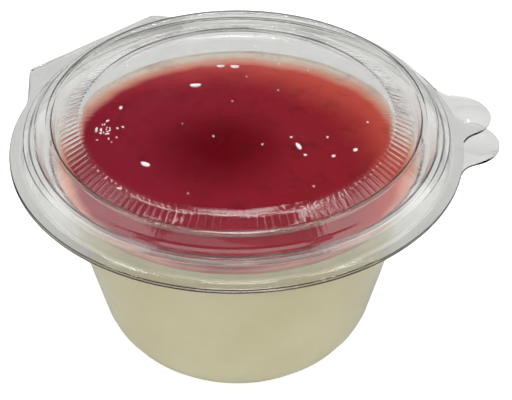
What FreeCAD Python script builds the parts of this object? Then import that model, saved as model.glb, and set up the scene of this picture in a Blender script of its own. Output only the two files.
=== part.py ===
"""Clear dessert cup with a hinged snap lid, filled with panna cotta under a berry sauce.

Millimetres, +Z up, origin at the centre of the base. The finger tabs point along +X and
the fold of the lid lies behind and to the left, about 130 degrees round from them.
"""
import FreeCAD, Part
import math
import os

# ---- driving dimensions of the cup ---------------------------------------------------
base_radius = 25.2            # where the flat base meets the slope of the foot
base_corner = 3.0             # inside radius there
foot_radius = 32.4            # where the slope of the foot meets the wall's line
foot_rise = 3.7               # height of that meeting above the base
foot_corner = 15.0            # inside radius of the rounded foot
wall_top_radius = 45.0        # outside of the wall at the underside of the flange
flange_height = 54.5          # underside of the cup's flange above the base
cup_wall = 0.5

# ---- rim bead of the cup, an open fold that stands up inside the flange ----------------
ledge_rise = 1.3              # inner ledge above the flange
ledge_width = 1.2
bead_inner_run = 2.0          # sideways run of the bead's inner side
bead_crest = 1.4
bead_outer_run = 1.1          # sideways run of the bead's outer side
bead_rise = 5.0               # top of the bead above the flange
bead_corner = 0.25
ledge_corner = 0.7
flange_width = 3.9            # flat flange outside the bead

# ---- lid -------------------------------------------------------------------------------
lid_wall = 0.4
lid_clearance = 0.3           # between the two flanges
skirt_clearance = 0.9         # underside of the skirt to the bead's foot
shoulder_clearance = 1.1      # underside of the shoulder to the bead's crest
shoulder_drop = 0.6           # underside of the shoulder below the bead's top
crease_run = 2.8              # slope from the shoulder in to the crease
crease_step = 2.2
ridge_run = 2.8               # slope from the crease in to the ridge
ridge_step = 2.4
ridge_width = 0.8
groove_wall_run = 0.9         # sideways run of the wall between ridge and groove
groove_depth = 2.9
groove_width = 1.2
cone_run = 4.6                # band that rises from the groove in to the panel
cone_step = 2.2
panel_bevel = 1.6
panel_step = 0.3
lid_corner = 0.2
lid_soft_corner = 0.6

# ---- finger tabs ------------------------------------------------------------------------
lid_tab_angle = 11.5          # degrees round from +X
cup_tab_angle = 0.5
tab_radius = 9.0
tab_reach = 9.0               # tip of the tab beyond the flange
tab_fillet = 6.0
pad_radius = 4.6              # domed thumb pad
pad_height = 0.8
pad_inset = 4.8               # centre of the pad inside the tip

# ---- fold that hinges the lid ---------------------------------------------------------------
hinge_angle = 130.7           # direction from the axis to the middle of the fold
hinge_reach = 3.3             # fold beyond the flange
hinge_half_length = 20.3
flap_splay = 37.0             # degrees that each side of the flap leans outward
flap_fillet = 14.0
fold_gap = 0.15               # each half stops this far short of the fold line

# ---- contents -----------------------------------------------------------------------------
sauce_drop = 2.5              # sauce level below the underside of the flange
sauce_edge = 0.8              # depth of the sauce at the wall
sauce_depth = 4.5             # depth of the sauce in the middle
fill_clearance = 0.1          # contents to wall

# ---- how far the flat flange plate laps over the turned shell --------------------------------
plate_root = 1.5              # inner edge of the plate inside the flange's edge
shell_lap = 0.5

# ---- sizes that follow -----------------------------------------------------------------------
wall_slope = (wall_top_radius - foot_radius) / (flange_height - foot_rise)
cup_flange_top = flange_height + cup_wall
ledge_height = cup_flange_top + ledge_rise
ledge_radius = wall_top_radius + wall_slope * (ledge_height - flange_height)
bead_top = cup_flange_top + bead_rise
bead_outer_radius = ledge_radius + ledge_width + bead_inner_run + bead_crest
bead_foot_radius = bead_outer_radius + bead_outer_run
flange_radius = bead_foot_radius + flange_width
shell_end = flange_radius - plate_root + shell_lap
lid_flange_bottom = cup_flange_top + lid_clearance
fold_height = (cup_flange_top + lid_flange_bottom) / 2
fold_distance = flange_radius + hinge_reach
sauce_level = flange_height - sauce_drop


def offset_line(points, distance):
    """The same open line moved sideways to its left, with mitred corners."""
    normals = []
    for (x0, z0), (x1, z1) in zip(points, points[1:]):
        length = math.hypot(x1 - x0, z1 - z0)
        normals.append((-(z1 - z0) / length, (x1 - x0) / length))
    moved = []
    for index, (x, z) in enumerate(points):
        before = normals[max(index - 1, 0)]
        after = normals[min(index, len(normals) - 1)]
        scale = distance / (1 + before[0] * after[0] + before[1] * after[1])
        moved.append((x + scale * (before[0] + after[0]), z + scale * (before[1] + after[1])))
    return moved


def left_turns(points):
    """Whether the line turns left, for each of its inner corners."""
    turns = []
    for (x0, z0), (x1, z1), (x2, z2) in zip(points, points[1:], points[2:]):
        turns.append((x1 - x0) * (z2 - z1) > (z1 - z0) * (x2 - x1))
    return turns


def rounded_edges(points, radii):
    """Straight edges through the points of the XZ plane, joined by tangent arcs."""
    vertices = [FreeCAD.Vector(x, 0, z) for x, z in points]
    edges = []
    start = vertices[0]
    for corner, following, radius in zip(vertices[1:], vertices[2:], radii):
        to_start = (start - corner).normalize()
        to_next = (following - corner).normalize()
        half_angle = to_start.getAngle(to_next) / 2
        reach = radius / math.tan(half_angle)
        arc_start = corner + to_start * reach
        arc_end = corner + to_next * reach
        middle = (to_start + to_next).normalize()
        arc_middle = corner + middle * (radius / math.sin(half_angle) - radius)
        edges.append(Part.LineSegment(start, arc_start).toShape())
        edges.append(Part.Arc(arc_start, arc_middle, arc_end).toShape())
        start = arc_end
    edges.append(Part.LineSegment(start, vertices[-1]).toShape())
    return edges


def revolve(edges):
    """Turn a closed outline of the XZ plane about the Z axis into a solid."""
    face = Part.Face(Part.Wire(edges))
    solid = face.revolve(FreeCAD.Vector(0, 0, 0), FreeCAD.Vector(0, 0, 1), 360)
    return Part.Solid(solid.Shells[0]) if solid.ShapeType != "Solid" else solid


def revolved_shell(points, corners, wall):
    """Turned shell: one face along the points, and the wall to the left of them.

    Each corner radius is the one on the hollow side of its bend.
    """
    turns = left_turns(points)
    near = [radius + wall if left else radius for radius, left in zip(corners, turns)]
    far = [radius if left else radius + wall for radius, left in zip(corners, turns)]
    near_edges = rounded_edges(points, near)
    far_edges = rounded_edges(offset_line(points, wall), far)
    first_cap = Part.LineSegment(near_edges[0].Vertexes[0].Point, far_edges[0].Vertexes[0].Point)
    last_cap = Part.LineSegment(near_edges[-1].Vertexes[-1].Point, far_edges[-1].Vertexes[-1].Point)
    outline = near_edges + far_edges + [first_cap.toShape(), last_cap.toShape()]
    return revolve(Part.__sortEdges__(outline))


def polar(radius, degrees, height=0.0):
    """A point at a distance and a direction round the Z axis."""
    angle = math.radians(degrees)
    return FreeCAD.Vector(radius * math.cos(angle), radius * math.sin(angle), height)


def arc_between(start, end, centre, radius):
    """The short arc about a centre from one point to another."""
    middle = (start + end) * 0.5 - centre
    return Part.Arc(start, centre + middle.normalize() * radius, end).toShape()


def tab_edges(angle):
    """Outline of a round finger tab with hollow fillets, from the flange and back to it."""
    centre_distance = flange_radius + tab_reach - tab_radius
    to_fillet = flange_radius + tab_fillet
    across = tab_radius + tab_fillet
    cosine = (to_fillet ** 2 + centre_distance ** 2 - across ** 2) / (2 * to_fillet * centre_distance)
    half_angle = math.degrees(math.acos(cosine))
    centre = polar(centre_distance, angle)
    tip = polar(flange_radius + tab_reach, angle)
    arcs = []
    joints = []
    for side in (-1, 1):
        fillet_centre = polar(to_fillet, angle + side * half_angle)
        on_flange = polar(flange_radius, angle + side * half_angle)
        on_tab = centre + (fillet_centre - centre).normalize() * tab_radius
        arcs.append(arc_between(on_flange, on_tab, fillet_centre, tab_fillet))
        joints.append(on_tab)
    arcs.append(Part.Arc(joints[0], tip, joints[1]).toShape())
    return arcs, angle - half_angle, angle + half_angle


def flap_edges():
    """Outline of the flap that carries the fold, with splayed sides and hollow fillets."""
    straight = fold_distance - fold_gap
    lean = math.radians(flap_splay)
    along = (-math.cos(lean), math.sin(lean))
    outward = (math.sin(lean), math.cos(lean))
    # centre of the fillet: as far from the flange circle as from the flap's side
    offset_x = straight + outward[0] * flap_fillet
    offset_y = hinge_half_length + outward[1] * flap_fillet
    projection = offset_x * along[0] + offset_y * along[1]
    excess = offset_x ** 2 + offset_y ** 2 - (flange_radius + flap_fillet) ** 2
    run = -projection - math.sqrt(projection ** 2 - excess)
    centre_x = offset_x + run * along[0]
    centre_y = offset_y + run * along[1]
    half_angle = math.degrees(math.atan2(centre_y, centre_x))
    turned = FreeCAD.Rotation(FreeCAD.Vector(0, 0, 1), hinge_angle)
    edges = []
    corners = []
    for side in (-1, 1):
        corner = FreeCAD.Vector(straight, side * hinge_half_length, 0)
        touch = FreeCAD.Vector(straight + run * along[0], side * (hinge_half_length + run * along[1]), 0)
        centre = FreeCAD.Vector(centre_x, side * centre_y, 0)
        on_flange = polar(flange_radius, side * half_angle)
        points = [turned.multVec(point) for point in (corner, touch, centre, on_flange)]
        edges.append(Part.LineSegment(points[0], points[1]).toShape())
        edges.append(arc_between(points[1], points[3], points[2], flap_fillet))
        corners.append(points[0])
    edges.append(Part.LineSegment(corners[0], corners[1]).toShape())
    return edges, hinge_angle - half_angle, hinge_angle + half_angle


def flange_plate(tab_angle, bottom, wall):
    """Flat ring with the finger tab and the hinge flap."""
    tab, tab_start, tab_end = tab_edges(tab_angle)
    flap, flap_start, flap_end = flap_edges()
    edges = tab + flap
    for start, end in ((tab_end, flap_start), (flap_end, tab_start + 360)):
        middle = polar(flange_radius, (start + end) / 2)
        edges.append(Part.Arc(polar(flange_radius, start), middle, polar(flange_radius, end)).toShape())
    outline = Part.Wire(Part.__sortEdges__(edges))
    plate = Part.Face(outline).extrude(FreeCAD.Vector(0, 0, wall))
    hole = Part.makeCylinder(flange_radius - plate_root, wall)
    plate = plate.cut(hole)
    plate.translate(FreeCAD.Vector(0, 0, bottom))
    return plate


def thumb_dome(tab_angle, height, side):
    """Cap of a sphere on a level face of the tab, above it or below it."""
    sphere_radius = (pad_radius ** 2 + pad_height ** 2) / (2 * pad_height)
    centre = polar(flange_radius + tab_reach - pad_inset, tab_angle, height)
    outward = FreeCAD.Vector(0, 0, side)
    sphere = Part.makeSphere(sphere_radius, centre - outward * (sphere_radius - pad_height))
    return sphere.common(Part.makeCylinder(pad_radius, 2 * pad_height, centre, outward))


def with_flange(shell, tab_angle, bottom, wall, pad_side):
    """Join a turned shell to its flange, tab and flap, and press the thumb pad up or down."""
    plate = flange_plate(tab_angle, bottom, wall)
    proud_face, hollow_face = (bottom + wall, bottom) if pad_side > 0 else (bottom, bottom + wall)
    dome = thumb_dome(tab_angle, proud_face, pad_side)
    hollow = thumb_dome(tab_angle, hollow_face, pad_side)
    return shell.fuse(plate).fuse(dome).cut(hollow).removeSplitter().Solids[0]


def make_cup():
    """Thin cup: base, cone wall, ledge, rim bead, flange, tab and hinge flap."""
    under_crest = bead_top - cup_wall
    line = [(0, 0),
            (base_radius, 0),
            (foot_radius, foot_rise),
            (ledge_radius, ledge_height - cup_wall),
            (ledge_radius + ledge_width, ledge_height - cup_wall),
            (bead_outer_radius - bead_crest, under_crest),
            (bead_outer_radius - cup_wall, under_crest),
            (bead_foot_radius - cup_wall, flange_height),
            (shell_end, flange_height)]
    corners = [base_corner, foot_corner, ledge_corner, ledge_corner, bead_corner, bead_corner,
               ledge_corner]
    shell = revolved_shell(line, corners, cup_wall)
    return with_flange(shell, cup_tab_angle, flange_height, cup_wall, -1)


def lid_underside():
    """Underside of the lid from the middle of the panel to its flange, with its corners."""
    skirt = bead_foot_radius + skirt_clearance
    shoulder = bead_outer_radius + shoulder_clearance
    crease = shoulder - crease_run
    ridge = crease - ridge_run
    groove_outer = ridge - ridge_width - groove_wall_run
    groove_inner = groove_outer - groove_width
    cone_top = groove_inner - cone_run
    shoulder_height = bead_top - shoulder_drop
    crease_height = shoulder_height + crease_step
    ridge_height = crease_height + ridge_step
    groove_height = ridge_height - groove_depth
    cone_height = groove_height + cone_step
    line = [(0, cone_height + panel_step),
            (cone_top - panel_bevel, cone_height + panel_step),
            (cone_top, cone_height),
            (groove_inner, groove_height),
            (groove_outer, groove_height),
            (ridge - ridge_width, ridge_height),
            (ridge, ridge_height),
            (crease, crease_height),
            (shoulder, shoulder_height),
            (skirt, lid_flange_bottom),
            (shell_end, lid_flange_bottom)]
    corners = [lid_soft_corner, lid_soft_corner, lid_corner, lid_corner, lid_corner, lid_corner,
               lid_soft_corner, lid_corner, lid_soft_corner]
    return line, corners


def make_lid():
    """Thin lid: panel, cone band, groove, ridge, slope, skirt, flange, tab and flap."""
    line, corners = lid_underside()
    shell = revolved_shell(line, corners, lid_wall)
    return with_flange(shell, lid_tab_angle, lid_flange_bottom, lid_wall, 1)


def wall_inside(height):
    """Radius of the contents at a height on the straight part of the wall."""
    sideways = (cup_wall + fill_clearance) * math.hypot(1, wall_slope)
    return foot_radius + wall_slope * (height - foot_rise) - sideways


def dish_arc():
    """Hollow top of the panna cotta: its two ends, and the arc from the axis up to the wall."""
    edge_height = sauce_level - sauce_edge
    low = sauce_level - sauce_depth
    edge_radius = wall_inside(edge_height)
    rise = edge_height - low
    dish_radius = (edge_radius ** 2 + rise ** 2) / (2 * rise)
    half_way = math.asin(edge_radius / dish_radius) / 2
    bottom = FreeCAD.Vector(0, 0, low)
    middle = FreeCAD.Vector(dish_radius * math.sin(half_way), 0, low + dish_radius * (1 - math.cos(half_way)))
    edge = FreeCAD.Vector(edge_radius, 0, edge_height)
    return bottom, edge, Part.Arc(bottom, middle, edge).toShape()


def make_panna_cotta():
    """Set cream that fills the cup, with a hollow top."""
    bottom, edge, arc = dish_arc()
    inset = cup_wall + fill_clearance
    outside = [(0, 0), (base_radius, 0), (foot_radius, foot_rise), (wall_top_radius, flange_height)]
    line = offset_line(outside, inset)[:3] + [(edge.x, edge.z)]
    outline = rounded_edges(line, [base_corner - fill_clearance, foot_corner - fill_clearance])
    axis = Part.LineSegment(bottom, FreeCAD.Vector(0, 0, inset)).toShape()
    return revolve(Part.__sortEdges__(outline + [arc, axis]))


def make_berry_sauce():
    """Level pool of sauce in the hollow of the panna cotta, thin at the wall."""
    bottom, edge, arc = dish_arc()
    top_edge = FreeCAD.Vector(wall_inside(sauce_level), 0, sauce_level)
    top_centre = FreeCAD.Vector(0, 0, sauce_level)
    sides = [Part.LineSegment(edge, top_edge).toShape(),
             Part.LineSegment(top_edge, top_centre).toShape(),
             Part.LineSegment(top_centre, bottom).toShape()]
    return revolve(Part.__sortEdges__([arc] + sides))


def main():
    """Build every solid and write one STEP file for each."""
    os.makedirs("parts", exist_ok=True)
    solids = {"cup": make_cup(),
              "panna_cotta": make_panna_cotta(),
              "berry_sauce": make_berry_sauce(),
              "lid": make_lid()}
    fold = polar(fold_distance, hinge_angle, fold_height)
    for name, solid in solids.items():
        box = solid.BoundBox
        print("%-12s valid %s  volume %8.1f mm3  %.2f x %.2f x %.2f, from z %.2f"
              % (name, solid.isValid(), solid.Volume, box.XLength, box.YLength, box.ZLength, box.ZMin))
        solid.exportStep("parts/%s.step" % name)
    print("fold line passes (%.4f, %.4f, %.4f)" % tuple(fold))


main()
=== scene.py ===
"""Dressed model of a clear dessert cup with a hinged lid, panna cotta and berry sauce."""
import math

import bmesh
import bpy
from bpy.props import FloatProperty, FloatVectorProperty, IntProperty, PointerProperty
from mathutils import Matrix, Vector, noise
from random import Random


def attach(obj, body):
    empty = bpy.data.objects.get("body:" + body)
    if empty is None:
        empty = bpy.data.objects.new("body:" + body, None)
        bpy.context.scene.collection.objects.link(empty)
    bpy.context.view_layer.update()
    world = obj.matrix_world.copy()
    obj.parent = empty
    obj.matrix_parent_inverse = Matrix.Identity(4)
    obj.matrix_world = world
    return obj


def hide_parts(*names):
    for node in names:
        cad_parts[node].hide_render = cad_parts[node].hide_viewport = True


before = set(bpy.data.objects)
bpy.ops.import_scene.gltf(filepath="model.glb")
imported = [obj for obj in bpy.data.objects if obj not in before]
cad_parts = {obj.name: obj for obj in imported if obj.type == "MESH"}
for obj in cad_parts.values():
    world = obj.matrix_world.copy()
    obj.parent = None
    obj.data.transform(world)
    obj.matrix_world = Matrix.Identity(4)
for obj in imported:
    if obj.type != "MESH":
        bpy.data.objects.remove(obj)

bl_info = {
    "name": "Hinged Dessert Cup",
    "version": (1, 0, 0),
    "blender": (4, 5, 0),
    "location": "3D View > Sidebar > Dessert Cup",
    "description": "Clear cup with a hinged snap lid, panna cotta and berry sauce",
    "category": "Add Mesh",
}

MM = 1000.0  # meshes are shaped in millimetres and scaled to metres at the end

# fixed details of the shapes, in millimetres
PLATE_WIDTH = 1.7  # flat outer ring of both flanges
LEDGE_RISE = 1.3  # inner ledge of the cup above its flange
LEDGE_WIDTH = 1.2  # flat part of that ledge
BEAD_SLOPE = 2.0  # sideways run of the bead's inner slope
BEAD_WIDTH = 1.4  # flat top of the bead
BEAD_SKIRT = 1.1  # sideways run of the bead's outer slope
RIB_INNER, RIB_OUTER = 38.0465, 42.6465  # edges of the lid's rib band
RIB_DROP = 2.2  # fall of the band from its inner to its outer edge
DROPLET_CEILING = 8.28  # underside of the lid's panel above its flange
DROPLET_LIMIT = 36.0  # the drops keep inside this radius of the panel

EDGE_THICKNESS = 0.2  # share of the flange's thickness that is left at its trimmed edge
SHARP_ANGLE = math.radians(50)  # edges that bend more than this stay sharp in the shading

# steps of a full turn of the cup, of the cream and sauce, and of each rib of the lid
CUP_STEPS = 480
CONTENT_STEPS = 288
STEPS_PER_RIB = 6

LAMP_DISTANCE = 1.40  # metres from the middle of the cup
CUP_MIDDLE = (0, 0, 0.035)  # point that every lamp faces


# ---- sizes and colours ---------------------------------------------------------------


class CupSizes(bpy.types.PropertyGroup):
    """Sizes of the clear cup and its flange."""

    base_radius: FloatProperty(
        name="Base radius", description="Where the flat base meets the slope of the foot",
        default=0.0252, unit="LENGTH")
    base_corner: FloatProperty(
        name="Base corner", description="Inside radius at the edge of the base",
        default=0.003, unit="LENGTH")
    foot_radius: FloatProperty(
        name="Foot radius", description="Where the slope of the foot meets the wall's line",
        default=0.0324, unit="LENGTH")
    foot_rise: FloatProperty(
        name="Foot rise", description="Height of that meeting above the base",
        default=0.0037, unit="LENGTH")
    wall_top_radius: FloatProperty(
        name="Wall top radius", description="Outside of the wall under the flange",
        default=0.045, unit="LENGTH")
    flange_height: FloatProperty(
        name="Flange height", description="Underside of the cup's flange",
        default=0.0545, unit="LENGTH")
    foot_corner: FloatProperty(
        name="Foot corner", description="Inside radius of the rounded foot",
        default=0.015, unit="LENGTH")
    wall: FloatProperty(
        name="Cup wall", description="Thickness of the cup", default=0.0005, unit="LENGTH")
    flange_radius: FloatProperty(
        name="Flange radius", description="Outer edge of both flanges",
        default=0.055035, unit="LENGTH")
    bead_rise: FloatProperty(
        name="Bead rise", description="Top of the rim bead above the flange",
        default=0.005, unit="LENGTH")
    tab_angle: FloatProperty(
        name="Cup tab direction", description="Direction of the cup's finger tab",
        default=math.radians(0.5), unit="ROTATION")


class LidSizes(bpy.types.PropertyGroup):
    """Sizes of the clear lid, its tab and its hinge flap."""

    wall: FloatProperty(
        name="Lid wall", description="Thickness of the lid", default=0.0004, unit="LENGTH")
    flange_height: FloatProperty(
        name="Lid flange height", description="Underside of the lid's flange",
        default=0.0553, unit="LENGTH")
    tab_angle: FloatProperty(
        name="Lid tab direction", description="Direction of the lid's finger tab",
        default=math.radians(11.5), unit="ROTATION")
    tab_radius: FloatProperty(
        name="Tab radius", description="Radius of both finger tabs", default=0.009, unit="LENGTH")
    tab_fillet: FloatProperty(
        name="Tab fillet", description="Hollow corner between tab and flange",
        default=0.006, unit="LENGTH")
    pad_radius: FloatProperty(
        name="Thumb pad radius", description="Radius of the domed pad",
        default=0.0046, unit="LENGTH")
    pad_height: FloatProperty(
        name="Thumb pad height", description="Height of the domed pad",
        default=0.0008, unit="LENGTH")
    hinge_angle: FloatProperty(
        name="Fold direction", description="Direction from the axis to the fold",
        default=math.radians(130.7), unit="ROTATION")
    fold_distance: FloatProperty(
        name="Fold distance", description="Fold line from the axis",
        default=0.0583465, unit="LENGTH")
    rib_count: IntProperty(
        name="Ribs", description="Fine ribs round the sloping band", default=144, min=12)
    rib_height: FloatProperty(
        name="Rib height", description="Height of one rib on the upper face",
        default=0.00024, unit="LENGTH")


class ContentSizes(bpy.types.PropertyGroup):
    """Levels of the panna cotta and the sauce."""

    sauce_level: FloatProperty(
        name="Sauce level", description="Height of the level sauce", default=0.052, unit="LENGTH")
    sauce_edge: FloatProperty(
        name="Sauce edge", description="Depth of the sauce at the wall",
        default=0.0008, unit="LENGTH")
    sauce_depth: FloatProperty(
        name="Sauce depth", description="Depth of the sauce in the middle",
        default=0.0045, unit="LENGTH")
    wall_overlap: FloatProperty(
        name="Wall overlap", description="How far the contents reach into the wall",
        default=0.0002, unit="LENGTH")


class Finishes(bpy.types.PropertyGroup):
    """Colours of the materials."""

    cup_plastic: FloatVectorProperty(
        name="Cup plastic", description="Tint of the cup's clear plastic",
        default=(0.955, 0.955, 0.945), subtype="COLOR", min=0, max=1)
    lid_plastic: FloatVectorProperty(
        name="Lid plastic", description="Tint of the lid's clear plastic",
        default=(0.965, 0.965, 0.955), subtype="COLOR", min=0, max=1)
    cream: FloatVectorProperty(
        name="Cream", description="Colour of the panna cotta",
        default=(0.87, 0.84, 0.61), subtype="COLOR", min=0, max=1)
    sauce_deep: FloatVectorProperty(
        name="Deep sauce", description="Colour of the sauce in the middle",
        default=(0.15, 0.001, 0.0065), subtype="COLOR", min=0, max=1)
    sauce_mid: FloatVectorProperty(
        name="Shallow sauce", description="Colour of the sauce half way out",
        default=(0.29, 0.014, 0.027), subtype="COLOR", min=0, max=1)
    sauce_thin: FloatVectorProperty(
        name="Thin sauce", description="Colour of the sauce near its edge",
        default=(0.60, 0.085, 0.070), subtype="COLOR", min=0, max=1)
    sauce_film: FloatVectorProperty(
        name="Sauce film", description="Colour of the last film of sauce over the cream",
        default=(0.74, 0.36, 0.27), subtype="COLOR", min=0, max=1)


# ---- shaping helpers -----------------------------------------------------------------


def corner_reach(before, corner, after, radius):
    """How far along both edges an arc of that radius starts from a corner."""
    to_before = Vector((before[0] - corner[0], before[1] - corner[1]))
    to_after = Vector((after[0] - corner[0], after[1] - corner[1]))
    return radius / math.tan(to_before.angle(to_after) / 2)


def draw_line(bm, points, radii, segments):
    """A line in the XZ plane through the points, with its corners bevelled to arcs."""
    verts = [bm.verts.new((x, 0.0, z)) for x, z in points]
    for first, second in zip(verts, verts[1:]):
        bm.edges.new((first, second))
    corners = zip(points, points[1:], points[2:], verts[1:], radii)
    for before, corner, after, vert, radius in corners:
        if radius:
            reach = corner_reach(before, corner, after, radius)
            bmesh.ops.bevel(bm, geom=[vert], affect="VERTICES", offset=reach,
                            offset_type="OFFSET", segments=segments, profile=0.5, material=-1)
    return verts[-1]


def turn(bm, steps):
    """Spins the line a full turn about the axis and closes its seam and pole."""
    bmesh.ops.spin(bm, geom=bm.verts[:] + bm.edges[:], cent=(0, 0, 0), axis=(0, 0, 1),
                   dvec=(0, 0, 0), angle=math.tau, steps=steps, use_merge=True,
                   use_duplicate=False)
    bmesh.ops.remove_doubles(bm, verts=bm.verts, dist=1e-3)
    bmesh.ops.recalc_face_normals(bm, faces=bm.faces)


def give_wall(bm, wall):
    """Thickens a turned sheet upwards and inwards from its lower face."""
    middle = min(bm.faces, key=lambda face: face.calc_center_median().xy.length)
    if middle.normal.z > 0:
        bmesh.ops.reverse_faces(bm, faces=bm.faces)
    bmesh.ops.solidify(bm, geom=bm.faces[:], thickness=wall)


def finish_piece(context, bm, name, body, node, material):
    """Scales the mesh to metres, checks it and links it as one riding piece."""
    bmesh.ops.scale(bm, vec=(1 / MM, 1 / MM, 1 / MM), verts=bm.verts)
    if any(not edge.is_manifold for edge in bm.edges):
        raise RuntimeError(name + " has an open edge")
    if bm.calc_volume(signed=True) <= 0:
        raise RuntimeError(name + " is inside out")
    for face in bm.faces:
        face.smooth = True
    mesh = bpy.data.meshes.new(name)
    bm.to_mesh(mesh)
    bm.free()
    mesh.set_sharp_from_angle(angle=SHARP_ANGLE)
    mesh.materials.append(material)
    piece = bpy.data.objects.new(name, mesh)
    context.scene.collection.objects.link(piece)
    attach(piece, body)
    if node:
        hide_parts(node)


# ---- outline of the flange -----------------------------------------------------------


def tab_reach(turned, flange, tab, fillet):
    """Edge of the flange near a finger tab, at an angle from the tab's middle line."""
    turned = abs(turned)
    fillet_distance = flange + fillet
    squares = fillet_distance ** 2 + flange ** 2 - (tab + fillet) ** 2
    half = math.acos(squares / (2 * fillet_distance * flange))
    if turned >= half:
        return flange
    # the tab's circle has its middle on the flange's edge
    fillet_x = fillet_distance * math.cos(half)
    fillet_y = fillet_distance * math.sin(half)
    joint_x = flange + (fillet_x - flange) * tab / (tab + fillet)
    joint_y = fillet_y * tab / (tab + fillet)
    if turned > math.atan2(joint_y, joint_x):
        away = half - turned
        return (fillet_distance * math.cos(away)
                - math.sqrt(fillet ** 2 - (fillet_distance * math.sin(away)) ** 2))
    return flange * math.cos(turned) + math.sqrt(tab ** 2 - (flange * math.sin(turned)) ** 2)


def flap_reach(turned, flange, straight):
    """Edge of the flange near the hinge flap, at an angle from the flap's middle line."""
    turned = abs(turned)
    half_length = 20.3
    lean = math.radians(37.0)  # slant of the flap's ends
    fillet = 14.0  # hollow corner where an end meets the flange
    if turned <= math.atan2(half_length, straight):
        return straight / math.cos(turned)
    along = Vector((-math.cos(lean), math.sin(lean)))
    outward = Vector((math.sin(lean), math.cos(lean)))
    corner = Vector((straight, half_length))
    start = corner + outward * fillet
    projection = start.dot(along)
    excess = start.length_squared - (flange + fillet) ** 2
    run = -projection - math.sqrt(projection ** 2 - excess)
    centre = start + along * run
    touch = corner + along * run
    if turned <= math.atan2(touch.y, touch.x):
        ray = Vector((math.cos(turned), math.sin(turned)))
        crossing = corner.x * along.y - corner.y * along.x
        return crossing / (ray.x * along.y - ray.y * along.x)
    half = math.atan2(centre.y, centre.x)
    if turned >= half:
        return flange
    away = half - turned
    return (centre.length * math.cos(away)
            - math.sqrt(fillet ** 2 - (centre.length * math.sin(away)) ** 2))


def shape_flange(bm, sizes, lid, tab_angle, plate_root, middle, pad_side):
    """Draws the flange's outer rings out to the tab and the flap, and domes the thumb pad.

    The trimmed edge is thinned evenly about the middle height of the flange.
    """
    flange = sizes.flange_radius * MM
    tab = lid.tab_radius * MM
    fillet = lid.tab_fillet * MM
    fold_gap, pad_inset = 0.15, 4.8
    straight = lid.fold_distance * MM - fold_gap
    pad_radius, pad_height = lid.pad_radius * MM, lid.pad_height * MM
    sphere = (pad_radius ** 2 + pad_height ** 2) / (2 * pad_height)
    pad_distance = flange + tab - pad_inset
    pad = Vector((pad_distance * math.cos(tab_angle), pad_distance * math.sin(tab_angle)))
    for vert in bm.verts:
        flat = vert.co.xy
        if flat.length <= plate_root + 1e-3:
            continue
        if flat.length > flange - 1e-3:
            vert.co.z = middle + EDGE_THICKNESS * (vert.co.z - middle)
        angle = math.atan2(flat.y, flat.x)
        from_tab = math.remainder(angle - tab_angle, math.tau)
        from_flap = math.remainder(angle - lid.hinge_angle, math.tau)
        edge = max(tab_reach(from_tab, flange, tab, fillet),
                   flap_reach(from_flap, flange, straight))
        stretch = (edge - plate_root) / (flange - plate_root)
        reach = plate_root + (flat.length - plate_root) * stretch
        flat *= reach / flat.length
        vert.co.xy = flat
        from_pad = (flat - pad).length
        if from_pad < pad_radius:
            dome = math.sqrt(sphere ** 2 - from_pad ** 2) - (sphere - pad_height)
            vert.co.z += pad_side * dome


def raise_ribs(bm, lid, band_top):
    """Presses fine ribs into the lid's sloping band: crisp on the upper face, softer below."""
    height = lid.rib_height * MM
    crest, lower_share = 0.6, 0.4
    inner_end, outer_end = 0.08, 0.2  # shares of the band where a rib rises and falls
    back_fade, back_start, back_run = 0.8, 0.25, 0.35  # the ribs at the back are faint
    for vert in bm.verts:
        radius = vert.co.xy.length
        part = (radius - RIB_INNER) / (RIB_OUTER - RIB_INNER)
        if not 0.0 < part < 1.0:
            continue
        above = vert.co.z - (band_top - RIB_DROP * part)
        turned = math.atan2(vert.co.y, vert.co.x)
        lobe = abs(math.sin(lid.rib_count / 2 * turned)) ** crest
        ends = min(1.0, part / inner_end) * min(1.0, (1.0 - part) / outer_end)
        behind = min(1.0, max(0.0, vert.co.y / radius - back_start) / back_run)
        ends *= 1.0 - back_fade * behind
        vert.co.z += height * (1.0 if above > 0.2 else lower_share) * ends * lobe


# ---- materials -----------------------------------------------------------------------


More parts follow.
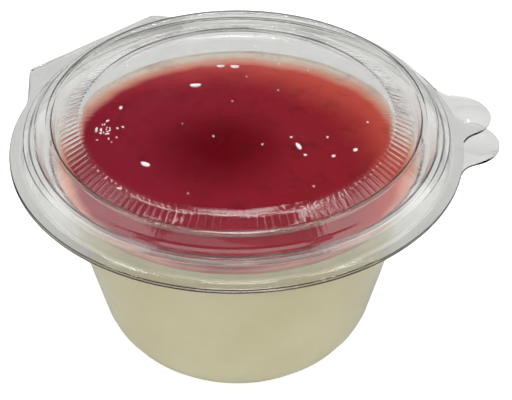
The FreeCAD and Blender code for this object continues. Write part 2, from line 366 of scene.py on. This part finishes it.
class Nodes:
    """Short way to add and link nodes of one material or world."""

    def __init__(self, owner):
        owner.use_nodes = True
        self.tree = owner.node_tree

    def add(self, kind, inputs=(), **settings):
        """A node with its settings, and with values or links for its inputs."""
        node = self.tree.nodes.new(kind)
        for key, value in settings.items():
            setattr(node, key, value)
        for key, value in dict(inputs).items():
            if isinstance(value, bpy.types.NodeSocket):
                self.tree.links.new(value, node.inputs[key])
            else:
                node.inputs[key].default_value = value
        return node

    def math(self, operation, *values):
        """The result of one sum."""
        return self.add("ShaderNodeMath", dict(enumerate(values)), operation=operation).outputs[0]

    def noise(self, vector, scale, detail=2.0, roughness=0.5):
        """Even noise from 0 to 1, centred on a half."""
        inputs = {"Vector": vector, "Scale": scale, "Detail": detail, "Roughness": roughness}
        return self.add("ShaderNodeTexNoise", inputs).outputs["Fac"]

    def between(self, value, low, high, start=0.0, end=1.0):
        """A value carried smoothly from one range to another."""
        inputs = {"Value": value, "From Min": low, "From Max": high,
                  "To Min": start, "To Max": end}
        node = self.add("ShaderNodeMapRange", inputs, interpolation_type="SMOOTHSTEP")
        return node.outputs["Result"]

    def mix(self, factor, first, second, blend="MIX"):
        """Two colours mixed."""
        node = self.add("ShaderNodeMix", data_type="RGBA", blend_type=blend)
        for index, value in ((0, factor), (6, first), (7, second)):
            if isinstance(value, bpy.types.NodeSocket):
                self.tree.links.new(value, node.inputs[index])
            else:
                node.inputs[index].default_value = value
        return node.outputs[2]

    def link(self, source, target):
        """Links one socket to another."""
        self.tree.links.new(source, target)

    def length(self, vector):
        """The length of a vector."""
        return self.add("ShaderNodeVectorMath", {0: vector}, operation="LENGTH").outputs["Value"]

    def dot(self, first, second):
        """The dot product of two vectors."""
        node = self.add("ShaderNodeVectorMath", {0: first, 1: second}, operation="DOT_PRODUCT")
        return node.outputs["Value"]

    def place(self):
        """Object coordinates."""
        return self.add("ShaderNodeTexCoord").outputs["Object"]

    def axes(self, vector):
        """The three parts of a vector."""
        return self.add("ShaderNodeSeparateXYZ", {0: vector}).outputs

    def bump(self, height, strength, distance):
        """A shading normal that follows a height."""
        inputs = {"Height": height, "Strength": strength, "Distance": distance}
        return self.add("ShaderNodeBump", inputs).outputs["Normal"]


def new_material(name):
    """A material, its nodes and its shader."""
    material = bpy.data.materials.new(name)
    nodes = Nodes(material)
    return material, nodes, nodes.tree.nodes["Principled BSDF"]


def set_constants(shader, values):
    """Sets numbers on the shader's own sockets."""
    for key, value in values.items():
        shader.inputs[key].default_value = value


def plastic_material(name, tint, ripple):
    """Clear thermoformed plastic: a soft ripple, drawn streaks and a few hazy patches."""
    material, nodes, shader = new_material(name)
    set_constants(shader, {"IOR": 1.46, "Transmission Weight": 1.0})
    place = nodes.place()
    axes = nodes.axes(place)
    angle = nodes.math("ARCTAN2", axes[1], axes[0])
    # streaks run down the wall and out along the radius, where the hot sheet was drawn
    round_share, rise_share, streak_share = 0.06, 0.08, 0.16
    drawn = nodes.add("ShaderNodeCombineXYZ", {
        0: nodes.math("MULTIPLY", nodes.math("COSINE", angle), round_share),
        1: nodes.math("MULTIPLY", nodes.math("SINE", angle), round_share),
        2: nodes.math("MULTIPLY", axes[2], rise_share)}).outputs[0]
    flat = nodes.add("ShaderNodeCombineXYZ", {0: axes[0], 1: axes[1]}).outputs[0]
    sides = nodes.between(nodes.length(flat), 0.028, 0.040)
    streaks = nodes.math("MULTIPLY", nodes.noise(drawn, 620.0, 3.0, 0.6), sides)
    soft = nodes.noise(place, 85.0, 1.0)
    relief = nodes.math("ADD", soft, nodes.math("MULTIPLY", streaks, streak_share))
    nodes.link(nodes.bump(relief, 1.0, ripple), shader.inputs["Normal"])
    haze = nodes.noise(place, 140.0, 4.0, 0.65)
    nodes.link(nodes.between(haze, 0.45, 0.75, 0.01, 0.05), shader.inputs["Roughness"])
    dull = nodes.between(haze, 0.35, 0.8)
    dusty = [0.965 * part for part in tint]
    nodes.link(nodes.mix(dull, (*tint, 1), (*dusty, 1)), shader.inputs["Base Color"])
    return material


def water_with_painted_glint(name):
    """Condensed water, with a faint glow painted in as its glints, brighter than the lid."""
    material, nodes, shader = new_material(name)
    # painted glint: the white emission makes each drop glow as a bright glint
    set_constants(shader, {"IOR": 1.33, "Transmission Weight": 0.1,
                           "Emission Color": (1, 1, 1, 1), "Emission Strength": 0.22})
    place = nodes.place()
    film = nodes.noise(place, 900.0, 2.0)
    nodes.link(nodes.between(film, 0.3, 0.8, 0.0, 0.05), shader.inputs["Roughness"])
    colour = nodes.mix(film, (1, 1, 1, 1), (0.97, 0.98, 0.98, 1))
    nodes.link(colour, shader.inputs["Base Color"])
    return material


def cream_material(name, colour):
    """Set cream: soft light inside, faint clouds, fine pores and painted shade towards the top.
    """
    material, nodes, shader = new_material(name)
    set_constants(shader, {"Subsurface Weight": 0.45, "Subsurface Radius": (1.0, 0.8, 0.5),
                           "Subsurface Scale": 0.003, "Specular IOR Level": 0.35})
    place = nodes.place()
    clouds = nodes.noise(place, 60.0, 3.0, 0.55)
    upper = nodes.between(nodes.axes(place)[2], 0.0, 0.05)
    rich = (0.95 * colour[0], 0.93 * colour[1], 0.87 * colour[2], 1)
    clouded = nodes.mix(nodes.between(clouds, 0.3, 0.7), (*colour, 1), rich)
    # painted shade: the cream is darkened and warmed a little towards the top, under the flange
    warm = nodes.mix(1.0, clouded, (0.90, 0.885, 0.84, 1), "MULTIPLY")
    nodes.link(nodes.mix(upper, clouded, warm), shader.inputs["Base Color"])
    nodes.link(nodes.between(clouds, 0.3, 0.7, 0.38, 0.5), shader.inputs["Roughness"])
    pores = nodes.noise(place, 1400.0, 2.0)
    nodes.link(nodes.bump(pores, 0.3, 0.00005), shader.inputs["Normal"])
    return material


def sauce_material(name, finish):
    """Berry sauce: dark where it is deep, and fading to a pink film at its edge."""
    material, nodes, shader = new_material(name)
    set_constants(shader, {"IOR": 1.38, "Specular IOR Level": 0.25, "Subsurface Weight": 0.15,
                           "Subsurface Radius": (1.0, 0.25, 0.2), "Subsurface Scale": 0.0015})
    place = nodes.place()
    axes = nodes.axes(place)
    swirl = nodes.noise(place, 45.0, 3.0, 0.55)
    mottle = nodes.noise(place, 170.0, 4.0, 0.6)
    shift = nodes.math("MULTIPLY", nodes.math("SUBTRACT", swirl, 0.5), 0.009)
    fine = nodes.math("MULTIPLY", nodes.math("SUBTRACT", mottle, 0.5), 0.003)
    uneven = nodes.math("ADD", shift, fine)

    def distance_from(x, y, share=1.0):
        """Distance from a point of the pool, made uneven."""
        away = nodes.add("ShaderNodeCombineXYZ", {
            0: nodes.math("SUBTRACT", axes[0], x),
            1: nodes.math("SUBTRACT", axes[1], y)}).outputs[0]
        return nodes.math("ADD", nodes.length(away), nodes.math("MULTIPLY", uneven, share))

    # the pool is deep in the middle, shallow at the back and the right, and a film at the wall
    depth = nodes.between(distance_from(-0.004, 0.002), 0.003, 0.022)
    shallow = nodes.between(distance_from(-0.008, -0.010), 0.036, 0.053)
    deep = nodes.mix(depth, (*finish.sauce_deep, 1), (*finish.sauce_mid, 1))
    pool = nodes.mix(shallow, deep, (*finish.sauce_thin, 1))
    # a cooler red on one side of the pool and a warmer one on the other
    side = nodes.between(axes[0], -0.035, 0.035)
    cool, warm = (0.98, 0.95, 1.20, 1), (1.03, 1.10, 0.95, 1)
    tinged = nodes.mix(1.0, pool, nodes.mix(side, cool, warm), "MULTIPLY")
    edge = distance_from(0.0, -0.0020, 0.5)
    film, bare_cream = (*finish.sauce_film, 1), (0.88, 0.80, 0.70, 1)
    filmed = nodes.mix(nodes.between(edge, 0.0395, 0.0425), tinged, film)
    toned = nodes.mix(nodes.between(edge, 0.0420, 0.0450), filmed, bare_cream)
    pulp = nodes.mix(1.0, toned, (0.80, 0.72, 0.74, 1), "MULTIPLY")
    spotted = nodes.mix(nodes.between(mottle, 0.52, 0.72), toned, pulp)
    nodes.link(spotted, shader.inputs["Base Color"])
    nodes.link(nodes.between(mottle, 0.3, 0.7, 0.10, 0.22), shader.inputs["Roughness"])
    ripple = nodes.noise(place, 260.0, 2.0)
    nodes.link(nodes.bump(ripple, 0.6, 0.0002), shader.inputs["Normal"])
    return material


# ---- pieces --------------------------------------------------------------------------


def wall_slope(cup):
    """Sideways run of the cup's wall for each unit of height."""
    return (cup.wall_top_radius - cup.foot_radius) / (cup.flange_height - cup.foot_rise)


def outside_radius(cup, height):
    """Outside of the straight wall at a height, in millimetres."""
    return cup.foot_radius * MM + wall_slope(cup) * (height - cup.foot_rise * MM)


def contents_radius(cup, height, overlap):
    """Edge of the contents at a height, just inside the wall."""
    inset = (cup.wall - overlap) * MM
    return outside_radius(cup, height) - inset * math.hypot(1, wall_slope(cup))


def dish_line(low):
    """The cream's hollow top from its middle outwards."""
    return [(0, low), (14, low + 0.4), (26, low + 1.4), (36, low + 3.0)]


class DESSERT_OT_cup_shell(bpy.types.Operator):
    """Turn the clear cup with its rim bead, flange, tab and flap"""

    bl_idname = "dessert.cup_shell"
    bl_label = "Cup Shell"

    def execute(self, context):
        settings = context.scene.dessert_cup
        cup, lid = settings.cup, settings.lid
        wall = cup.wall * MM
        flange_height = cup.flange_height * MM
        ledge_height = flange_height + wall + LEDGE_RISE
        ledge = outside_radius(cup, ledge_height)
        bead_top = flange_height + wall + cup.bead_rise * MM
        bead_outer = ledge + LEDGE_WIDTH + BEAD_SLOPE + BEAD_WIDTH
        flange = cup.flange_radius * MM
        plate_root = flange - PLATE_WIDTH
        # the line follows the lower face, so its hollow corners are larger by the wall
        line = [(0, 0), (cup.base_radius * MM, 0), (cup.foot_radius * MM, cup.foot_rise * MM),
                (ledge, ledge_height - wall), (ledge + LEDGE_WIDTH, ledge_height - wall),
                (bead_outer - BEAD_WIDTH, bead_top - wall), (bead_outer - wall, bead_top - wall),
                (bead_outer + BEAD_SKIRT - wall, flange_height),
                (plate_root, flange_height), (flange, flange_height)]
        ledge_corner, bead_corner = 0.7, 0.25
        radii = [cup.base_corner * MM + wall, cup.foot_corner * MM + wall,
                 ledge_corner, ledge_corner + wall, bead_corner, bead_corner,
                 ledge_corner + wall, 0]
        bm = bmesh.new()
        rim = draw_line(bm, line, radii, 4)
        bmesh.ops.subdivide_edges(bm, edges=rim.link_edges[:], cuts=7)
        turn(bm, CUP_STEPS)
        give_wall(bm, wall)
        shape_flange(bm, cup, lid, cup.tab_angle, plate_root, flange_height + wall / 2, -1)
        finish_piece(context, bm, "cup_shell", "cup", "cup",
                     plastic_material("Clear cup plastic", settings.finish.cup_plastic, 0.00028))
        return {"FINISHED"}


class DESSERT_OT_lid_shell(bpy.types.Operator):
    """Turn the clear lid with its panel, ribs, groove, ridge, flange, tab and flap"""

    bl_idname = "dessert.lid_shell"
    bl_label = "Lid Shell"

    def execute(self, context):
        settings = context.scene.dessert_cup
        cup, lid = settings.cup, settings.lid
        wall = lid.wall * MM
        flange = cup.flange_radius * MM
        plate_root = flange - PLATE_WIDTH
        bottom = lid.flange_height * MM
        panel, band_top, groove, ridge = bottom + 8.3, bottom + 8.0, bottom + 5.8, bottom + 8.7
        band_width = 4.6
        band = [(RIB_INNER + part * band_width, band_top - part * RIB_DROP)
                for part in (0.08, 0.22, 0.78, 0.93)]
        slope = [(47.9, bottom + 6.68), (48.4, bottom + 6.42), (48.9, bottom + 5.86)]
        line = [(0, panel), (36.4465, panel), (RIB_INNER, band_top), *band,
                (RIB_OUTER, groove), (43.8465, groove), (44.7465, ridge), (45.5465, ridge),
                *slope, (51.1465, bottom + 4.1), (52.0465, bottom),
                (plate_root, bottom), (flange, bottom)]
        # one corner for each inner point of the line; hollow corners are larger by the wall
        radii = [0.6, 0.6, 0, 0, 0, 0, 0.2 + wall, 0.2 + wall, 0.2, 0.2,
                 0.3 + wall, 0.1, 0.3 + wall, 0.2, 0.6 + wall, 0]
        bm = bmesh.new()
        rim = draw_line(bm, line, radii, 3)
        bmesh.ops.subdivide_edges(bm, edges=rim.link_edges[:], cuts=6)
        turn(bm, lid.rib_count * STEPS_PER_RIB)
        give_wall(bm, wall)
        raise_ribs(bm, lid, band_top)
        shape_flange(bm, cup, lid, lid.tab_angle, plate_root, bottom + wall / 2, 1)
        finish_piece(context, bm, "lid_shell", "lid", "lid",
                     plastic_material("Clear lid plastic", settings.finish.lid_plastic, 0.0003))
        return {"FINISHED"}


class DESSERT_OT_cream_fill(bpy.types.Operator):
    """Turn the set cream that fills the cup"""

    bl_idname = "dessert.cream_fill"
    bl_label = "Cream Fill"

    def execute(self, context):
        settings = context.scene.dessert_cup
        cup, contents = settings.cup, settings.contents
        overlap = contents.wall_overlap
        inset = (cup.wall - overlap) * MM
        level = contents.sauce_level * MM
        edge = level - contents.sauce_edge * MM
        low = level - contents.sauce_depth * MM
        foot_slope = math.atan2(cup.foot_rise, cup.foot_radius - cup.base_radius)
        base = cup.base_radius * MM - inset * math.tan(foot_slope / 2)
        foot_height = cup.foot_rise * MM + 0.6 * inset
        line = [(0, inset), (base, inset),
                (contents_radius(cup, foot_height, overlap), foot_height),
                (contents_radius(cup, edge, overlap), edge), *reversed(dish_line(low))]
        bm = bmesh.new()
        draw_line(bm, line, [cup.base_corner * MM, cup.foot_corner * MM, 0, 3, 3, 3], 8)
        turn(bm, CONTENT_STEPS)
        finish_piece(context, bm, "cream_fill", "cup", "panna_cotta",
                     cream_material("Set cream", settings.finish.cream))
        return {"FINISHED"}


class DESSERT_OT_sauce_pool(bpy.types.Operator):
    """Turn the pool of sauce on the cream"""

    bl_idname = "dessert.sauce_pool"
    bl_label = "Sauce Pool"

    def execute(self, context):
        settings = context.scene.dessert_cup
        cup, contents = settings.cup, settings.contents
        level = contents.sauce_level * MM
        edge = level - contents.sauce_edge * MM
        low = level - contents.sauce_depth * MM
        overlap = contents.wall_overlap
        rim_radius = contents_radius(cup, level, overlap)
        # the sauce creeps up the wall at its rim
        line = [*dish_line(low), (contents_radius(cup, edge, overlap) - 0.1, edge - 0.1),
                (rim_radius + 0.15, level + 0.65), (rim_radius - 0.55, level + 0.15),
                (rim_radius - 2.2, level)]
        line += [(radius, level) for radius in range(39, -1, -3)]
        bm = bmesh.new()
        draw_line(bm, line, [3, 3, 3, 0, 0.1, 0.8, 1.5], 4)
        turn(bm, CONTENT_STEPS)
        # faint waves on the level top
        wave_height = 0.10
        for vert in bm.verts:
            inward = rim_radius - vert.co.xy.length
            if vert.co.z > level - 0.01 and inward > 0.6:
                wave = noise.noise(vert.co * 0.11) + 0.4 * noise.noise(vert.co * 0.3)
                vert.co.z += wave_height * wave * min(1.0, inward / 3)
        finish_piece(context, bm, "sauce_pool", "cup", "berry_sauce",
                     sauce_material("Berry sauce", settings.finish))
        return {"FINISHED"}


class DESSERT_OT_fold_bead(bpy.types.Operator):
    """Shape the rolled fold between the two flaps"""

    bl_idname = "dessert.fold_bead"
    bl_label = "Fold Bead"

    def execute(self, context):
        settings = context.scene.dessert_cup
        cup, lid = settings.cup, settings.lid
        radius, length, end_bevel = 0.42, 39.0, 0.25
        bm = bmesh.new()
        bmesh.ops.create_cone(bm, cap_ends=True, segments=20, radius1=radius, radius2=radius,
                              depth=length)
        ends = [edge for edge in bm.edges
                if abs(edge.verts[0].co.z - edge.verts[1].co.z) < 1e-4]
        bmesh.ops.bevel(bm, geom=ends, affect="EDGES", offset=end_bevel, segments=3,
                        profile=0.5, material=-1)
        along = Matrix.Rotation(math.pi / 2, 4, "X")
        round_axis = Matrix.Rotation(lid.hinge_angle, 4, "Z")
        middle = (cup.flange_height + cup.wall + lid.flange_height) * MM / 2
        place = round_axis @ Matrix.Translation((lid.fold_distance * MM, 0, middle)) @ along
        bmesh.ops.transform(bm, matrix=place, verts=bm.verts)
        bmesh.ops.recalc_face_normals(bm, faces=bm.faces)
        finish_piece(context, bm, "fold_bead", "cup", None,
                     plastic_material("Folded plastic", settings.finish.cup_plastic, 0.0002))
        return {"FINISHED"}


class DESSERT_OT_lid_droplets(bpy.types.Operator):
    """Hang condensed droplets under the lid's panel"""

    bl_idname = "dessert.lid_droplets"
    bl_label = "Lid Droplets"

    def execute(self, context):
        random = Random(7)
        ceiling = context.scene.dessert_cup.lid.flange_height * MM + DROPLET_CEILING
        # place, length, width and turn of the large drops, in millimetres and degrees
        drops = [(14.7, -12.5, 2.6, 0.9, 115), (16.2, -16.0, 0.8, 0.6, 0),
                 (-21.0, -19.5, 2.4, 1.1, 150), (-23.5, -26.5, 2.6, 0.8, 60),
                 (20.6, -27.1, 2.3, 0.7, 20), (22.8, -16.4, 1.0, 0.8, 30),
                 (-10.2, 12.7, 2.8, 0.9, 5), (-4.1, 21.0, 2.0, 0.6, 0),
                 (-0.6, 20.8, 2.2, 0.7, -5), (28.0, -14.0, 1.2, 0.9, 40),
                 (31.0, -21.0, 1.0, 0.7, 0), (13.0, -9.0, 0.7, 0.5, 0),
                 (-28.0, 3.0, 1.2, 0.8, 80)]
        # a close patch near one side, then a few over the whole panel
        for _ in range(30):
            drops.append((random.gauss(-31.5, 2.2), random.gauss(-7.5, 3.6),
                          random.uniform(0.25, 0.9), random.uniform(0.2, 0.45),
                          random.uniform(0, 180)))
        for _ in range(16):
            distance, angle = 35.0 * math.sqrt(random.random()), random.uniform(0, math.tau)
            drops.append((distance * math.cos(angle), distance * math.sin(angle),
                          random.uniform(0.25, 0.7), random.uniform(0.25, 0.45),
                          random.uniform(0, 180)))
        bm = bmesh.new()
        for x, y, length, width, turned in drops:
            if math.hypot(x, y) + length > DROPLET_LIMIT:
                continue
            spun = Matrix.Rotation(math.radians(turned), 4, "Z")
            scale = Matrix.Diagonal((length / 2, width / 2, 0.2 * (length + width), 1))
            bmesh.ops.create_uvsphere(bm, u_segments=16, v_segments=10, radius=1,
                                      matrix=Matrix.Translation((x, y, ceiling)) @ spun @ scale)
        cut = bmesh.ops.bisect_plane(bm, geom=bm.verts[:] + bm.edges[:] + bm.faces[:],
                                     dist=1e-4, plane_co=(0, 0, ceiling), plane_no=(0, 0, 1),
                                     clear_outer=True)
        rims = [item for item in cut["geom_cut"] if isinstance(item, bmesh.types.BMEdge)]
        bmesh.ops.holes_fill(bm, edges=rims, sides=0)
        bmesh.ops.recalc_face_normals(bm, faces=bm.faces)
        finish_piece(context, bm, "lid_droplets", "lid", None,
                     water_with_painted_glint("Condensed water"))
        return {"FINISHED"}


# ---- stage ---------------------------------------------------------------------------


def table_glow(nodes):
    """White for the camera, some light for the cup, and none in gloss or through plastic."""
    lift = 0.58  # light that the table sends up to the cream and the sauce
    rays = nodes.add("ShaderNodeLightPath").outputs
    # the lamps fade with distance, so the glow makes up for them further out
    white = nodes.between(nodes.length(nodes.place()), 0.15, 0.70, 0.70, 1.0)
    lighting = nodes.math("MINIMUM", rays["Diffuse Depth"], 1.0)
    return nodes.math("MAXIMUM", nodes.math("MULTIPLY", rays["Is Camera Ray"], white),
                      nodes.math("MULTIPLY", lighting, lift))


def make_floor(scene):
    """White table that keeps a soft shadow."""
    bm = bmesh.new()
    bmesh.ops.create_grid(bm, x_segments=1, y_segments=1, size=4.0)
    mesh = bpy.data.meshes.new("floor")
    bm.to_mesh(mesh)
    bm.free()
    floor = bpy.data.objects.new("floor", mesh)
    scene.collection.objects.link(floor)
    material = bpy.data.materials.new("White table")
    nodes = Nodes(material)
    nodes.tree.nodes.clear()
    paper = nodes.add("ShaderNodeBsdfDiffuse", {"Color": (0.6, 0.6, 0.6, 1)}).outputs[0]
    light = {"Color": (1, 1, 1, 1), "Strength": table_glow(nodes)}
    glow = nodes.add("ShaderNodeEmission", light).outputs[0]
    both = nodes.add("ShaderNodeAddShader", {0: paper, 1: glow}).outputs[0]
    nodes.add("ShaderNodeOutputMaterial", {"Surface": both})
    mesh.materials.append(material)


def make_world(scene):
    """White for the camera and near the table, with dark cards over and behind the cup."""
    world = bpy.data.worlds.new("Studio")
    scene.world = world
    nodes = Nodes(world)
    nodes.tree.nodes.clear()
    direction = nodes.add("ShaderNodeTexCoord").outputs["Generated"]
    sweep = nodes.between(nodes.axes(direction)[2], 0.08, 0.24, 0.85, 0.0)
    # the dark cards keep the flat lid clear of gloss, and of haze from inside the plastic
    overhead = nodes.dot(direction, (0.0, 0.5, 0.866))
    behind = nodes.dot(direction, (0.0, 0.786, 0.618))
    rays = nodes.add("ShaderNodeLightPath").outputs
    through = nodes.math("MULTIPLY", rays["Is Transmission Ray"],
                         nodes.between(behind, 0.82, 0.93, 0.42, 0.0))
    dome = nodes.math("MAXIMUM", sweep, nodes.between(overhead, 0.50, 0.74, 0.50, 0.012))
    seen = nodes.math("MAXIMUM", rays["Is Camera Ray"], through)
    level = nodes.math("MAXIMUM", seen, dome)
    background = nodes.add("ShaderNodeBackground", {"Color": (1, 1, 1, 1), "Strength": level})
    nodes.add("ShaderNodeOutputWorld", {"Surface": background.outputs[0]})


def add_soft_box(scene, name, azimuth, elevation, width, depth, power):
    """A lamp that faces the middle of the cup."""
    data = bpy.data.lights.new(name, "AREA")
    data.shape = "RECTANGLE"
    data.size = width
    data.size_y = depth
    data.energy = power
    lamp = bpy.data.objects.new(name, data)
    turned, raised = math.radians(azimuth), math.radians(elevation)
    direction = Vector((math.cos(turned) * math.cos(raised),
                        math.sin(turned) * math.cos(raised), math.sin(raised)))
    lamp.location = Vector(CUP_MIDDLE) + direction * LAMP_DISTANCE
    lamp.rotation_mode = "QUATERNION"
    lamp.rotation_quaternion = direction.to_track_quat("Z", "Y")
    lamp.visible_camera = False
    scene.collection.objects.link(lamp)


class DESSERT_OT_stage(bpy.types.Operator):
    """Make the white floor, the world, the soft boxes and the camera"""

    bl_idname = "dessert.stage"
    bl_label = "Stage"

    def execute(self, context):
        scene = context.scene
        make_floor(scene)
        make_world(scene)
        # degrees round from +X, degrees up, width and depth in metres, and power in watts
        for soft_box in (("Front box", 268, 40, 1.60, 0.70, 6.0),
                         ("Left box", 182, 40, 1.20, 1.00, 6.0),
                         ("Right box", 358, 40, 1.20, 1.00, 7.0),
                         ("Back box", 90, 72, 0.30, 0.45, 9.0),
                         ("Left strip", 158, 67, 0.10, 0.25, 2.6),
                         ("Right strip", 20, 69, 0.12, 0.30, 3.0),
                         ("Front strip", 262, 62, 1.10, 0.08, 0.16)):
            add_soft_box(scene, *soft_box)
        data = bpy.data.cameras.new("Camera")
        data.lens = 131.84
        data.sensor_width = 36.0
        data.clip_start = 0.01
        camera = bpy.data.objects.new("Camera", data)
        sideways, aim_height = 0.00468, 0.0377
        camera.location = (sideways, -0.3669, 0.3265)
        aim = Vector((sideways, 0.0, aim_height)) - camera.location
        camera.rotation_mode = "QUATERNION"
        camera.rotation_quaternion = aim.to_track_quat("-Z", "Y")
        scene.collection.objects.link(camera)
        scene.camera = camera
        scene.view_settings.view_transform = "Standard"
        return {"FINISHED"}


# ---- panel and registration ----------------------------------------------------------


class DessertCup(bpy.types.PropertyGroup):
    """All settings of the dessert cup."""

    cup: PointerProperty(type=CupSizes, name="Cup", description="Sizes of the cup")
    lid: PointerProperty(type=LidSizes, name="Lid", description="Sizes of the lid")
    contents: PointerProperty(
        type=ContentSizes, name="Contents", description="Levels of the contents")
    finish: PointerProperty(type=Finishes, name="Finishes", description="Colours")


class DESSERT_PT_panel(bpy.types.Panel):
    """Lists the sizes and the operators of the dessert cup"""

    bl_idname = "DESSERT_PT_panel"
    bl_label = "Dessert Cup"
    bl_space_type = "VIEW_3D"
    bl_region_type = "UI"
    bl_category = "Dessert Cup"

    def draw(self, context):
        settings = context.scene.dessert_cup
        for group in (settings.cup, settings.lid, settings.contents, settings.finish):
            box = self.layout.box()
            for name in group.__annotations__:
                box.prop(group, name)
        for operator in OPERATORS:
            self.layout.operator(operator.bl_idname)


OPERATORS = (DESSERT_OT_cup_shell, DESSERT_OT_lid_shell, DESSERT_OT_fold_bead,
             DESSERT_OT_cream_fill, DESSERT_OT_sauce_pool, DESSERT_OT_lid_droplets,
             DESSERT_OT_stage)
CLASSES = (CupSizes, LidSizes, ContentSizes, Finishes, DessertCup, *OPERATORS, DESSERT_PT_panel)


def register():
    """Registers the classes and the settings."""
    for cls in CLASSES:
        bpy.utils.register_class(cls)
    bpy.types.Scene.dessert_cup = PointerProperty(type=DessertCup)


def unregister():
    """Takes the settings and the classes away again."""
    del bpy.types.Scene.dessert_cup
    for cls in reversed(CLASSES):
        bpy.utils.unregister_class(cls)


def main():
    """Builds every piece and the stage."""
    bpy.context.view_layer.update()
    register()
    bpy.ops.dessert.cup_shell()
    bpy.ops.dessert.lid_shell()
    bpy.ops.dessert.fold_bead()
    bpy.ops.dessert.cream_fill()
    bpy.ops.dessert.sauce_pool()
    bpy.ops.dessert.lid_droplets()
    bpy.ops.dessert.stage()


if __name__ == "__main__":
    main()
